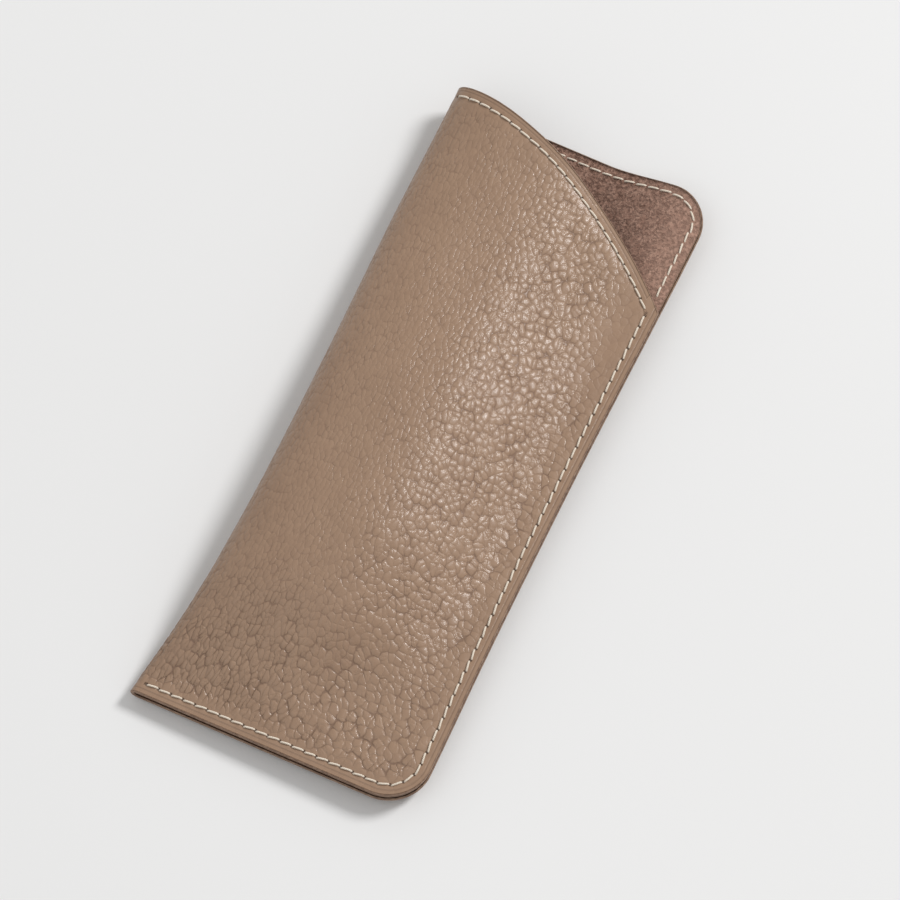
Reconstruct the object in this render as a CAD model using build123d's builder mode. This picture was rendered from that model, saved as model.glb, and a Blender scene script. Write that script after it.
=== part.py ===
"""Soft pouch glasses case: one folded leather blank lined with suede, sewn along the bottom and one side.

The case lies on its back. X runs from the fold (-X) to the sewn side (+X), Y from the sewn bottom (-Y) to the
mouth (+Y), and Z points up. The origin is the middle of the rectangle the case rests on.
"""

from build123d import *
import math
import os
from collections import namedtuple

# Flat size of the folded case
LENGTH = 170.0
WIDTH = 72.0
CORNER_RADIUS = 10.5  # the sewn bottom corner and the corner of the tab

# Plies, from the outside in
LEATHER = 0.9
INTERLINING = 0.2
SUEDE = 0.5
PLY_GAP = 0.03
FACING_GAP = 0.2  # between the two suede faces where the seams hold them together
INTERLINING_DEPTH = LEATHER + PLY_GAP
SUEDE_DEPTH = INTERLINING_DEPTH + INTERLINING + PLY_GAP
INNER_DEPTH = SUEDE_DEPTH + SUEDE
STACK = 2 * INNER_DEPTH + FACING_GAP  # all the plies of a closed seam

# Shape of the filled case
CREST_HEIGHT = 16.0  # how far the front rises above the closed stack
FRONT_FOLD_RADIUS = 24.0  # half-width of the front's turn into the fold
BACK_FOLD_RADIUS = 10.0
FOLD_HEIGHT = 9.3  # height of the fold's outermost line
FLANGE = 6.0  # flat strip that the closing seam holds
CREST_SKEW = 1.6  # above 1 moves the steepest part of the front towards the sewn side
BELLY_END = 0.58  # where the back leaves the surface it rests on, as a share of the width
BELLY_SINK = 0.15  # depth of the belly that the flat resting face takes off

# Mouth: the front's lip runs from the fold's top down to the sewn side in one convex curve
LIP_LOW_Y = 136.5
LIP_SAGITTA = 6.5
LIP_OVERRUN = 0.2  # how far the lip's curve runs past the case on each side
HEADROOM = 40.0  # more than the case's height
TOP_OVERRUN = 1.0  # how far the cut runs past the top
MOUTH_SECTIONS = 4  # the sections that the mouth reaches

# Seams
SEAM_MARGIN = 2.7
STITCH_PITCH = 3.1
STITCH_LENGTH = 2.4
THREAD_RADIUS = 0.27
THREAD_LIFT = 0.18  # how far a straight stitch stands off the curved face, so that its middle clears it
SEAM_END = 3.0  # distance between the fold's outermost line and the last stitch

# Cross-sections along the case: y from the bottom seam, how swollen the case is (0 flat, 1 full), the height
# of the sewn edge's middle, how far the sewn edge is drawn in, the fold's draw-in, and the height of the back.
Station = namedtuple("Station", "y swell seam_height seam_inset fold_inset base")
STATIONS = [
    Station(0.0, 0.00, 4.6, 0.0, 0.0, 0.9),
    Station(5.0, 0.03, 4.8, 0.0, 0.6, 0.75),
    Station(14.0, 0.27, 5.1, 0.1, 2.1, 0.15),
    Station(24.0, 0.55, 5.4, 0.3, 3.6, -BELLY_SINK),
    Station(37.0, 0.83, 5.7, 0.6, 4.9, -BELLY_SINK),
    Station(62.0, 1.00, 6.0, 0.9, 5.7, -BELLY_SINK),
    Station(90.0, 0.97, 6.2, 1.0, 5.4, -BELLY_SINK),
    Station(115.0, 0.86, 6.5, 0.8, 4.7, -BELLY_SINK),
    Station(135.0, 0.77, 6.9, 0.5, 4.1, -BELLY_SINK),
    Station(153.0, 0.74, 7.3, 0.3, 4.0, -BELLY_SINK),
    Station(LENGTH, 0.74, 7.8, 0.3, 4.1, 1.0),
]
FALL_STEPS = 9  # straight runs between the crest and the flange
QUARTER_STEPS = 5  # straight runs in a quarter turn of the fold
OPEN_SWELL = 0.5  # from this swell on, the back lies on its belly instead of sloping evenly
SLOPE_REACH = 0.1  # half of the distance over which a slope is measured


def smooth(share):
    """A step from 0 to 1 with level ends."""
    share = min(max(share, 0.0), 1.0)
    return share * share * (3 - 2 * share)


def blend(swell, closed, full):
    """A size of the section: closed where the case is sewn flat, full where it is swollen."""
    return closed + swell * (full - closed)


class Section:
    """The outline of the case across its length at one station."""

    def __init__(self, station):
        self.y = station.y - LENGTH / 2
        self.base = station.base
        self.left = station.fold_inset - WIDTH / 2
        self.right = WIDTH / 2 - station.seam_inset
        self.flange = self.right - FLANGE
        self.belly_end = self.left + BELLY_END * (self.right - self.left)
        self.seam_bottom = station.seam_height - STACK / 2
        self.level = 1 - smooth(station.swell / OPEN_SWELL)  # 1 where the closed stack slopes evenly
        self.crest_rise = CREST_HEIGHT * station.swell
        self.front_radius = blend(station.swell, STACK / 2, FRONT_FOLD_RADIUS)
        self.back_radius = blend(station.swell, STACK / 2, BACK_FOLD_RADIUS)
        self.fold_height = self.base + blend(station.swell, STACK / 2, FOLD_HEIGHT)
        self.crest = self.left + self.front_radius

    def back(self, x):
        """Height of the back's outer face."""
        belly = smooth((x - self.belly_end) / (self.flange - self.belly_end))
        slope = min((x - self.left) / (self.flange - self.left), 1.0)
        rise = (1 - self.level) * belly + self.level * slope
        return self.base + (self.seam_bottom - self.base) * rise

    def front(self, x):
        """Height of the front's outer face, from the crest to the sewn edge."""
        share = min(max((x - self.crest) / (self.flange - self.crest), 0.0), 1.0)
        return self.back(x) + STACK + self.crest_rise * (1 - smooth(share**CREST_SKEW))

    def panel(self, height, start, depth):
        """Points from start to the sewn edge, at a depth under one face, measured square to that face."""
        side = 1 if depth >= 0 else -1
        steps = [start + (self.flange - start) * step / FALL_STEPS for step in range(FALL_STEPS + 1)]
        points = []
        for x in steps + [self.right]:
            ahead = min(x + SLOPE_REACH, self.right)
            behind = x - SLOPE_REACH
            slope = 0.0 if x in (start, self.right) else (height(ahead) - height(behind)) / (ahead - behind)
            length = math.hypot(1.0, slope)
            points.append((x + depth * slope / length, height(x) - side * abs(depth) / length))
        return points

    def quarter(self, radius, reach, depth):
        """Points of the fold's quarter turn, from its outermost line to the panel that reach leads to."""
        wide = radius - depth
        high = abs(reach) - depth
        side = 1 if reach > 0 else -1
        points = []
        for step in range(QUARTER_STEPS + 1):
            angle = math.radians(90 * step / QUARTER_STEPS)
            x = self.left + radius - wide * math.cos(angle)
            points.append((x, self.fold_height + side * high * math.sin(angle)))
        return points

    def skin(self, depth):
        """Points all round the section at a depth, from the front's sewn edge over the fold to the back's."""
        back_start = self.left + self.back_radius
        front_turn = self.quarter(self.front_radius, self.front(self.crest) - self.fold_height, depth)
        back_turn = self.quarter(self.back_radius, self.back(back_start) - self.fold_height, depth)
        front_panel = self.panel(self.front, self.crest, depth)
        back_panel = self.panel(self.back, back_start, -depth)
        return front_panel[::-1] + front_turn[-2::-1] + back_turn[1:] + back_panel[1:]


def ply_section(section, outer_depth, inner_depth):
    """The cut face of one folded ply at one station.

    It is a face of its own, because a sketch merges straight runs and the loft needs the same corners each time.
    """
    outline = section.skin(outer_depth) + section.skin(inner_depth)[::-1]
    return Face(Wire.make_polygon([(x, section.y, z) for x, z in outline]))


SECTIONS = [Section(station) for station in STATIONS]

# What the two rounded corners take off
CORNER_X = WIDTH / 2 - CORNER_RADIUS
CORNER_Y = LENGTH / 2 - CORNER_RADIUS
with BuildPart() as corner_waste:
    with BuildSketch():
        for side in (-1, 1):
            with Locations((CORNER_X + CORNER_RADIUS, side * (CORNER_Y + CORNER_RADIUS))):
                Rectangle(2 * CORNER_RADIUS, 2 * CORNER_RADIUS)
            with Locations((CORNER_X, side * CORNER_Y)):
                Circle(CORNER_RADIUS, mode=Mode.SUBTRACT)
    extrude(amount=HEADROOM)

# What the mouth takes off: everything above the middle of the case, beyond the lip
LIP_LOW = Vector(SECTIONS[-1].right + LIP_OVERRUN, LIP_LOW_Y - LENGTH / 2)
LIP_HIGH = Vector(SECTIONS[-1].left - LIP_OVERRUN, LENGTH / 2)
LIP_MIDDLE = (LIP_LOW + LIP_HIGH) / 2 + (LIP_HIGH - LIP_LOW).rotate(Axis.Z, -90).normalized() * LIP_SAGITTA
with BuildLine() as lip:
    lip_arc = ThreePointArc(LIP_LOW, LIP_MIDDLE, LIP_HIGH)
with BuildPart() as mouth_waste:
    with BuildSketch():
        with BuildLine():
            add(lip)
            Polyline(LIP_HIGH, (LIP_HIGH.X, LENGTH), (WIDTH, LENGTH), (WIDTH, LIP_LOW.Y), LIP_LOW)
        make_face()
    extrude(amount=HEADROOM)
    for station, section in zip(STATIONS[-MOUTH_SECTIONS:], SECTIONS[-MOUTH_SECTIONS:]):
        overrun = TOP_OVERRUN if station.y == LENGTH else 0.0
        with BuildSketch(Plane.XZ.offset(-section.y - overrun)):
            with BuildLine():
                Polyline(
                    (-WIDTH, section.fold_height),
                    (section.left, section.fold_height),
                    (section.right, station.seam_height),
                    (WIDTH, station.seam_height),
                    (WIDTH, HEADROOM),
                    (-WIDTH, HEADROOM),
                    close=True,
                )
            make_face()
    loft(ruled=True, mode=Mode.INTERSECT)

# The three folded plies
PLIES = {
    "outer_leather": (0.0, LEATHER),
    "interlining": (INTERLINING_DEPTH, INTERLINING_DEPTH + INTERLINING),
    "suede_lining": (SUEDE_DEPTH, INNER_DEPTH),
}
pieces = []
for node, (outer_depth, inner_depth) in PLIES.items():
    with BuildPart() as ply:
        sections = [ply_section(section, outer_depth, inner_depth) for section in SECTIONS]
        loft(sections, ruled=True, clean=False)
        add(corner_waste.part, clean=False, mode=Mode.SUBTRACT)
        add(mouth_waste.part, clean=False, mode=Mode.SUBTRACT)
        if node == "outer_leather":
            with Locations((0, 0, -HEADROOM / 2)):
                Box(2 * WIDTH, 2 * LENGTH, HEADROOM, mode=Mode.SUBTRACT)
    ply.part.label = node
    pieces.append(ply.part)


def run_height(run, x):
    """Height of a run of points with rising x."""
    for (x0, z0), (x1, z1) in zip(run, run[1:]):
        if x <= x1:
            break
    return z0 + (z1 - z0) * (x - x0) / (x1 - x0)


def face_height(face, x, y):
    """Height of a face of the case over a place in plan; face is (depth, whether it is on the front)."""
    depth, on_front = face
    for low, high in zip(SECTIONS, SECTIONS[1:]):
        if y <= high.y:
            break
    heights = []
    for section in (low, high):
        points = section.skin(depth)
        fold = min(range(len(points)), key=lambda index: points[index][0])
        run = points[fold::-1] if on_front else points[fold:]
        heights.append(run_height(run, x))
    return heights[0] + (heights[1] - heights[0]) * (y - low.y) / (high.y - low.y)


def stitch_ends(seam_line, face, outward):
    """End points of the stitches that a seam line leaves on a face; outward is 1 for up, -1 for down."""
    count = int(seam_line.length // STITCH_PITCH)
    pairs = []
    for index in range(count):
        middle = (index + 0.5) * STITCH_PITCH
        ends = []
        for place in (middle - STITCH_LENGTH / 2, middle + STITCH_LENGTH / 2):
            spot = seam_line.position_at(place, position_mode=PositionMode.LENGTH)
            height = face_height(face, spot.X, spot.Y)
            reach = 2 * SLOPE_REACH
            fall_x = face_height(face, spot.X - reach, spot.Y) - face_height(face, spot.X + reach, spot.Y)
            fall_y = face_height(face, spot.X, spot.Y - reach) - face_height(face, spot.X, spot.Y + reach)
            square = Vector(fall_x, fall_y, 2 * reach).normalized() * outward
            ends.append(Vector(spot.X, spot.Y, height) + square * (THREAD_RADIUS + THREAD_LIFT))
        pairs.append(ends)
    return pairs


# Seam lines in plan. The closing seam stops at the lip, where the tab's seam goes on, and the mouth seam's
# inside stops where the two linings meet.
SIDE_X = WIDTH / 2 - SEAM_MARGIN
BOTTOM_Y = SEAM_MARGIN - LENGTH / 2
TOP_Y = LENGTH / 2 - SEAM_MARGIN
BEND = CORNER_RADIUS - SEAM_MARGIN
SIDE_SECTIONS = [section for section in SECTIONS if -CORNER_Y < section.y < LIP_LOW.Y]
MEETING_X = SIDE_SECTIONS[-1].right - SEAM_MARGIN
MEETING_Y = lip_arc.arc_center.Y + math.sqrt(lip_arc.radius**2 - (MEETING_X - lip_arc.arc_center.X) ** 2)
with BuildLine() as closing_line:
    Line((SECTIONS[0].left + SEAM_END, BOTTOM_Y), (CORNER_X, BOTTOM_Y))
    CenterArc((CORNER_X, -CORNER_Y), BEND, -90, 90)
    side_points = [(section.right - SEAM_MARGIN, section.y) for section in SIDE_SECTIONS]
    Polyline((SIDE_X, -CORNER_Y), *side_points, (MEETING_X, MEETING_Y - STITCH_PITCH / 2))
with BuildLine() as tab_line:
    Line((MEETING_X, MEETING_Y + STITCH_PITCH / 2), (SIDE_X, CORNER_Y))
    CenterArc((CORNER_X, CORNER_Y), BEND, 0, 90)
    Line((CORNER_X, TOP_Y), (SECTIONS[-1].left + BACK_FOLD_RADIUS, TOP_Y))
MOUTH_RADIUS = lip_arc.radius - SEAM_MARGIN
MOUTH_LEFT = SECTIONS[-1].left + SEAM_END


def mouth_arc(right_end):
    """The mouth's seam line from a place on the sewn side up to the fold."""
    centre = lip_arc.arc_center
    start, end = (math.degrees(math.acos((x - centre.X) / MOUTH_RADIUS)) for x in (right_end, MOUTH_LEFT))
    with BuildLine() as line:
        CenterArc(centre, MOUTH_RADIUS, start, end - start)
    return line


mouth_line = mouth_arc(MEETING_X - STITCH_PITCH / 2)
mouth_inside_line = mouth_arc(SIDE_SECTIONS[-1].flange - STITCH_PITCH)

# Threads: needle threads lie on the side that shows, bobbin threads on the other
UP = 1
DOWN = -1
FRONT_OUTSIDE = (0.0, True)
FRONT_INSIDE = (INNER_DEPTH, True)
BACK_OUTSIDE = (0.0, False)
BACK_INSIDE = (INNER_DEPTH, False)
THREADS = {
    "closing_seam_needle_thread": (closing_line, FRONT_OUTSIDE, UP),
    "closing_seam_bobbin_thread": (closing_line, BACK_OUTSIDE, DOWN),
    "mouth_seam_needle_thread": (mouth_line, FRONT_OUTSIDE, UP),
    "mouth_seam_bobbin_thread": (mouth_inside_line, FRONT_INSIDE, DOWN),
    "tab_seam_needle_thread": (tab_line, BACK_INSIDE, UP),
    "tab_seam_bobbin_thread": (tab_line, BACK_OUTSIDE, DOWN),
}
for node, (seam_line, face, outward) in THREADS.items():
    with BuildPart() as thread:
        for start, end in stitch_ends(seam_line.wire(), face, outward):
            with Locations(Plane((start + end) / 2, z_dir=end - start)):
                Cylinder(THREAD_RADIUS, (end - start).length)
    thread.part.label = node
    pieces.append(thread.part)

os.makedirs("parts", exist_ok=True)
for piece in pieces:
    export_step(piece, f"parts/{piece.label}.step")
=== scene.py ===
"""Soft pouch glasses case: pebbled leather folded over a suede lining and sewn with cream thread.

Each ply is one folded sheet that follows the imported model's sections. Sizes are in millimetres until a mesh
is made.
"""

import bpy
import math
import numpy as np
from collections import namedtuple
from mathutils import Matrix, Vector


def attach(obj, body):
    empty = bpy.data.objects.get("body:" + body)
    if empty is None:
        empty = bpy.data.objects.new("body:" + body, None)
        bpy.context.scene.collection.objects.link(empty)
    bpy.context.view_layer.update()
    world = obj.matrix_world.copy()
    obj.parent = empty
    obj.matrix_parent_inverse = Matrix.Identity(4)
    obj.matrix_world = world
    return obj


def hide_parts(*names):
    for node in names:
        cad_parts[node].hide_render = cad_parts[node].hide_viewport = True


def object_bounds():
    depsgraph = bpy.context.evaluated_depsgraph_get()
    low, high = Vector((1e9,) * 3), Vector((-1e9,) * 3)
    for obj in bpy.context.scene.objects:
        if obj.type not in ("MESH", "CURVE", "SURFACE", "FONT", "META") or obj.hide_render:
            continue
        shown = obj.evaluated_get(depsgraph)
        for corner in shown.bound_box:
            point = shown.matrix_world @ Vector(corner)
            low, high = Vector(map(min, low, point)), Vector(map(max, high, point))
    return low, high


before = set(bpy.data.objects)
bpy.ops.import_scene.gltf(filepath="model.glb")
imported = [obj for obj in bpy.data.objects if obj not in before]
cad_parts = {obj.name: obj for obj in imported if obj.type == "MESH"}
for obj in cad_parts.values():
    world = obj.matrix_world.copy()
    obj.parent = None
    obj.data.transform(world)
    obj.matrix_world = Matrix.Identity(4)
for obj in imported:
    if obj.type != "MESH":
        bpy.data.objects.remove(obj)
CAD_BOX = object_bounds()
MM = 0.001

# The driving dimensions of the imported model
LENGTH = 170.0
WIDTH = 72.0
CORNER_RADIUS = 10.5
LEATHER = 0.9
INTERLINING = 0.2
SUEDE = 0.5
PLY_GAP = 0.03
FACING_GAP = 0.2
INTERLINING_DEPTH = LEATHER + PLY_GAP
SUEDE_DEPTH = INTERLINING_DEPTH + INTERLINING + PLY_GAP
INNER_DEPTH = SUEDE_DEPTH + SUEDE
STACK = 2 * INNER_DEPTH + FACING_GAP
CREST_HEIGHT = 16.0
FRONT_FOLD_RADIUS = 24.0
BACK_FOLD_RADIUS = 10.0
FOLD_HEIGHT = 9.3
FLANGE = 6.0
CREST_SKEW = 1.6
BELLY_END = 0.58
LIP_LOW_Y = 136.5
LIP_SAGITTA = 6.5
SEAM_MARGIN = 2.7
STITCH_PITCH = 3.1
SEAM_END = 3.0
LIP_OVERRUN = 0.2

# y, how swollen the case is, height of the sewn edge, its draw-in, the fold's draw-in, height of the back
Station = namedtuple("Station", "y swell seam_height seam_inset fold_inset base")
STATIONS = [
    Station(0.0, 0.00, 4.6, 0.0, 0.0, 0.9),
    Station(5.0, 0.03, 4.8, 0.0, 0.6, 0.75),
    Station(14.0, 0.27, 5.1, 0.1, 2.1, 0.15),
    Station(24.0, 0.55, 5.4, 0.3, 3.6, -0.15),
    Station(37.0, 0.83, 5.7, 0.6, 4.9, -0.15),
    Station(62.0, 1.00, 6.0, 0.9, 5.7, -0.15),
    Station(90.0, 0.97, 6.2, 1.0, 5.4, -0.15),
    Station(115.0, 0.86, 6.5, 0.8, 4.7, -0.15),
    Station(135.0, 0.77, 6.9, 0.5, 4.1, -0.15),
    Station(153.0, 0.74, 7.3, 0.3, 4.0, -0.15),
    Station(LENGTH, 0.74, 7.8, 0.3, 4.1, 1.0),
]
FLAT_WIDTH = 2 * WIDTH  # the blank before it is folded
OPEN_SWELL = 0.5  # from this swell on, the back lies on its belly instead of sloping evenly

# The table of the folded surface, and the slow unevenness of a case that has held glasses
ROW_STEP = 0.5
COLUMN_STEP = 0.4
WAVE_HEIGHT = 0.26
RIPPLE_HEIGHT = 0.13


# ---------------------------------------------------------------- the folded surface


def smooth(share):
    """A step from 0 to 1 with level ends."""
    share = np.clip(share, 0.0, 1.0)
    return share * share * (3 - 2 * share)


def track(name):
    """A smooth curve through one column of STATIONS that never overshoots it."""
    ys = np.array([station.y for station in STATIONS])
    values = np.array([getattr(station, name) for station in STATIONS])
    steps = np.diff(ys)
    slopes = np.diff(values) / steps
    tangents = np.concatenate([slopes[:1], np.zeros(len(ys) - 2), slopes[-1:]])
    for k in range(1, len(ys) - 1):
        if slopes[k - 1] * slopes[k] > 0:
            before = 2 * steps[k] + steps[k - 1]
            after = steps[k] + 2 * steps[k - 1]
            tangents[k] = (before + after) / (before / slopes[k - 1] + after / slopes[k])

    def at(y):
        k = np.clip(np.searchsorted(ys, y, side="right") - 1, 0, len(steps) - 1)
        t = (y - ys[k]) / steps[k]
        ends = values[k] * (1 - smooth(t)) + values[k + 1] * smooth(t)
        return ends + steps[k] * t * (1 - t) * (tangents[k] * (1 - t) - tangents[k + 1] * t)

    return at


SWELL, SEAM_HEIGHT, SEAM_INSET, FOLD_INSET, BASE = (track(name) for name in Station._fields[1:])


def section(y):
    """Outer face across the length at y: x and z from the front's sewn edge over the fold to the back's."""
    swell = SWELL(y)
    base = BASE(y)
    left = FOLD_INSET(y) - WIDTH / 2
    right = WIDTH / 2 - SEAM_INSET(y)
    flange = right - FLANGE
    belly_end = left + BELLY_END * (right - left)
    seam_bottom = SEAM_HEIGHT(y) - STACK / 2
    level = 1 - smooth(swell / OPEN_SWELL)
    half = STACK / 2
    front_radius = half + swell * (FRONT_FOLD_RADIUS - half)
    back_radius = half + swell * (BACK_FOLD_RADIUS - half)
    fold_height = base + half + swell * (FOLD_HEIGHT - half)
    crest = left + front_radius

    def back(x):
        belly = smooth((x - belly_end) / (flange - belly_end))
        slope = np.minimum((x - left) / (flange - left), 1.0)
        return base + (seam_bottom - base) * ((1 - level) * belly + level * slope)

    def front(x):
        share = np.clip((x - crest) / (flange - crest), 0.0, 1.0)
        return back(x) + STACK + CREST_HEIGHT * swell * (1 - smooth(share**CREST_SKEW))

    front_x = np.linspace(right, crest, 160)
    back_x = np.linspace(left + back_radius, right, 160)
    turn = np.radians(np.linspace(0, 90, 60))
    front_turn_x = left + front_radius * (1 - np.cos(turn))
    front_turn_z = fold_height + (front(crest) - fold_height) * np.sin(turn)
    back_turn_x = left + back_radius * (1 - np.cos(turn))
    back_turn_z = fold_height - (fold_height - back(back_x[0])) * np.sin(turn)
    x = np.concatenate([front_x, front_turn_x[-2::-1], back_turn_x[1:], back_x[1:]])
    z = np.concatenate([front(front_x), front_turn_z[-2::-1], back_turn_z[1:], back(back_x[1:])])
    return x, z


def surface_table():
    """Points and outward normals of the outer face, on rows of y and columns of the blank's width."""
    rows = np.arange(0, LENGTH + ROW_STEP / 2, ROW_STEP)
    columns = np.arange(0, FLAT_WIDTH + COLUMN_STEP / 2, COLUMN_STEP)
    points = np.zeros((len(rows), len(columns), 3))
    for row, y in enumerate(rows):
        x, z = section(y)
        run = np.concatenate([[0.0], np.cumsum(np.hypot(np.diff(x), np.diff(z)))])
        run *= FLAT_WIDTH / run[-1]
        points[row, :, 0] = np.interp(columns, run, x)
        points[row, :, 1] = y - LENGTH / 2
        points[row, :, 2] = np.interp(columns, run, z)
    points[:, :, 2] += dents(rows[:, None], columns[None, :])
    along = np.gradient(points, axis=0)
    across = np.gradient(points, axis=1)
    normals = np.cross(along, across)
    return points, normals / np.linalg.norm(normals, axis=2, keepdims=True)


def dents(v, u):
    """Slow rises and hollows of the swollen front, which vanish at the seams and at the fold."""
    room = smooth((u - 8) / 16) * smooth((66 - u) / 20) * smooth((v - 10) / 30)
    waves = np.sin(v / 17 + u / 23 + 0.6) * np.sin(v / 29 - u / 11 + 1.9)
    ripple = np.sin(v / 8.5 - u / 19 + 0.4) * np.sin(u / 9 + v / 41)
    return room * (WAVE_HEIGHT * waves + RIPPLE_HEIGHT * ripple)


POINTS, NORMALS = surface_table()


def sample(table, u, y):
    """A table's values at places on the blank; y is measured from the sewn bottom."""
    row = np.clip(y / ROW_STEP, 0, table.shape[0] - 1.001)
    column = np.clip(u / COLUMN_STEP, 0, table.shape[1] - 1.001)
    i = row.astype(int)
    j = column.astype(int)
    p = (row - i)[..., None]
    q = (column - j)[..., None]
    low = table[i, j] * (1 - q) + table[i, j + 1] * q
    high = table[i + 1, j] * (1 - q) + table[i + 1, j + 1] * q
    return low * (1 - p) + high * p


def skin(u, y, depth):
    """Points at a depth under the outer face, and the outward normals there."""
    normals = sample(NORMALS, u, y)
    normals /= np.linalg.norm(normals, axis=-1, keepdims=True)
    return sample(POINTS, u, y) - depth * normals, normals


# ---------------------------------------------------------------- the blank's outline


def lip_arc():
    """Centre and radius of the front's lip in plan, from the low end at the sewn side up to the fold."""
    low = np.array([WIDTH / 2 - SEAM_INSET(LENGTH) + LIP_OVERRUN, LIP_LOW_Y - LENGTH / 2])
    high = np.array([FOLD_INSET(LENGTH) - WIDTH / 2 - LIP_OVERRUN, LENGTH / 2])
    chord = np.linalg.norm(high - low)
    radius = (chord**2 / 4 + LIP_SAGITTA**2) / (2 * LIP_SAGITTA)
    direction = (high - low) / chord
    inward = np.array([-direction[1], direction[0]])
    return (low + high) / 2 + inward * (radius - LIP_SAGITTA), radius


LIP_CENTRE, LIP_RADIUS = lip_arc()
LIP_ROUNDS = 12  # the lip is cut in plan, so its place on each column is found in steps
FOLD_COLUMN = COLUMN_STEP * int(np.argmin(POINTS[-1, :, 0]))


def lip_y(x, inset):
    """Place of the lip along the case, from the sewn bottom, where the plan's x is given."""
    reach = np.clip((LIP_RADIUS - inset) ** 2 - (x - LIP_CENTRE[0]) ** 2, 0, None)
    return LIP_CENTRE[1] + np.sqrt(reach) + LENGTH / 2


def corner_cut(distance, inset):
    """How far a rounded corner takes an end back, at a distance from the sewn edge."""
    radius = CORNER_RADIUS - inset
    reach = np.clip(radius - (distance - inset), 0, radius)
    return radius - np.sqrt(radius**2 - reach**2)


def low_end(u, inset):
    """Where each column of the blank starts."""
    return inset + corner_cut(np.minimum(u, FLAT_WIDTH - u), inset)


def high_end(u, inset):
    """Where each column ends: at the lip on the front, at the tab's top on the back."""
    back = LENGTH - inset - corner_cut(FLAT_WIDTH - u, inset)
    lip = np.full_like(u, LIP_LOW_Y)
    for _ in range(LIP_ROUNDS):
        lip = lip_y(sample(POINTS, u, lip)[..., 0], inset)
    return np.where(u < FOLD_COLUMN, np.minimum(lip, LENGTH - inset), back)


def columns(inset, front_step, back_step, corner_steps):
    """Places across the blank, close together near both sewn edges, in a count that threes divide."""
    radius = CORNER_RADIUS - inset
    corner = radius * (1 - np.cos(np.linspace(0, math.pi / 2, corner_steps)))[:-1]
    middle = FLAT_WIDTH / 2
    front = np.linspace(CORNER_RADIUS, middle, int((middle - CORNER_RADIUS) / front_step))
    count = int((middle - CORNER_RADIUS) / back_step)
    count += -(2 * len(corner) + len(front) + count) % 3 + 1
    back = np.linspace(middle, FLAT_WIDTH - CORNER_RADIUS, count + 1)[1:]
    return np.concatenate([inset + corner, front, back, FLAT_WIDTH - inset - corner[::-1]])


# ---------------------------------------------------------------- seam lines in plan


def dense(points, step=0.25):
    """A line through points, resampled evenly: places, directions and lengths from its start."""
    points = np.array(points)
    run = np.concatenate([[0.0], np.cumsum(np.linalg.norm(np.diff(points, axis=0), axis=1))])
    lengths = np.arange(0, run[-1], step)
    places = np.stack([np.interp(lengths, run, points[:, axis]) for axis in (0, 1)], axis=1)
    directions = np.gradient(places, axis=0)
    directions /= np.linalg.norm(directions, axis=1, keepdims=True)
    return places, directions, lengths


def arc(centre, radius, start, end, count=60):
    """Points of an arc in plan, between two angles in degrees."""
    angles = np.radians(np.linspace(start, end, count))
    return [(centre[0] + radius * math.cos(a), centre[1] + radius * math.sin(a)) for a in angles]


def side_x(y):
    """The sewn side's seam line; y is measured from the case's middle."""
    return WIDTH / 2 - SEAM_INSET(y + LENGTH / 2) - SEAM_MARGIN


CORNER_X = WIDTH / 2 - CORNER_RADIUS
CORNER_Y = LENGTH / 2 - CORNER_RADIUS
BEND = CORNER_RADIUS - SEAM_MARGIN
END_Y = LENGTH / 2 - SEAM_MARGIN
MEETING_X = side_x(LIP_LOW_Y - LENGTH / 2 - 2)  # the side's seam 2 mm under the lip, where three seams meet
MEETING_Y = float(lip_y(MEETING_X, 0.0)) - LENGTH / 2
MOUTH_LEFT = FOLD_INSET(LENGTH) - WIDTH / 2 + 0.7  # on the turn of the fold, where the last stitch shows
TAB_LEFT = FOLD_INSET(LENGTH) - WIDTH / 2 + BACK_FOLD_RADIUS


def closing_line():
    """From the fold along the bottom, round the corner and up the side to the lip."""
    bottom = [(SEAM_END - WIDTH / 2, -END_Y), (CORNER_X, -END_Y)]
    side = [(side_x(y), y) for y in np.linspace(-CORNER_Y, MEETING_Y - STITCH_PITCH / 2, 120)]
    return dense(bottom + arc((CORNER_X, -CORNER_Y), BEND, -90, 0) + side)


def tab_line():
    """From the lip up the side, round the tab's corner and along its top to the fold."""
    side = [(side_x(y), y) for y in np.linspace(MEETING_Y + STITCH_PITCH / 2, CORNER_Y, 40)]
    return dense(side + arc((CORNER_X, CORNER_Y), BEND, 0, 90) + [(TAB_LEFT, END_Y)])


def mouth_line(right_end):
    """From a place on the sewn side along the lip to the fold."""
    radius = LIP_RADIUS - SEAM_MARGIN
    start, end = (math.degrees(math.acos((x - LIP_CENTRE[0]) / radius)) for x in (right_end, MOUTH_LEFT))
    return dense(arc(LIP_CENTRE, radius, start, end, 200))


SEAM_CLEARANCE = 0.6  # the mouth's first stitch stops this far from the closing seam
CLOSING = closing_line()
TAB = tab_line()
MOUTH = mouth_line(MEETING_X - SEAM_CLEARANCE)
MOUTH_INSIDE = mouth_line(side_x(0.0) + SEAM_MARGIN - FLANGE - STITCH_PITCH)
HOLE_REACH = 0.6  # how far past a seam's end its last needle hole reaches
FAR = 99.0  # a distance at which no seam has any effect
CHUNK = 4000  # places compared with a seam at a time, which keeps memory low


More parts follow.
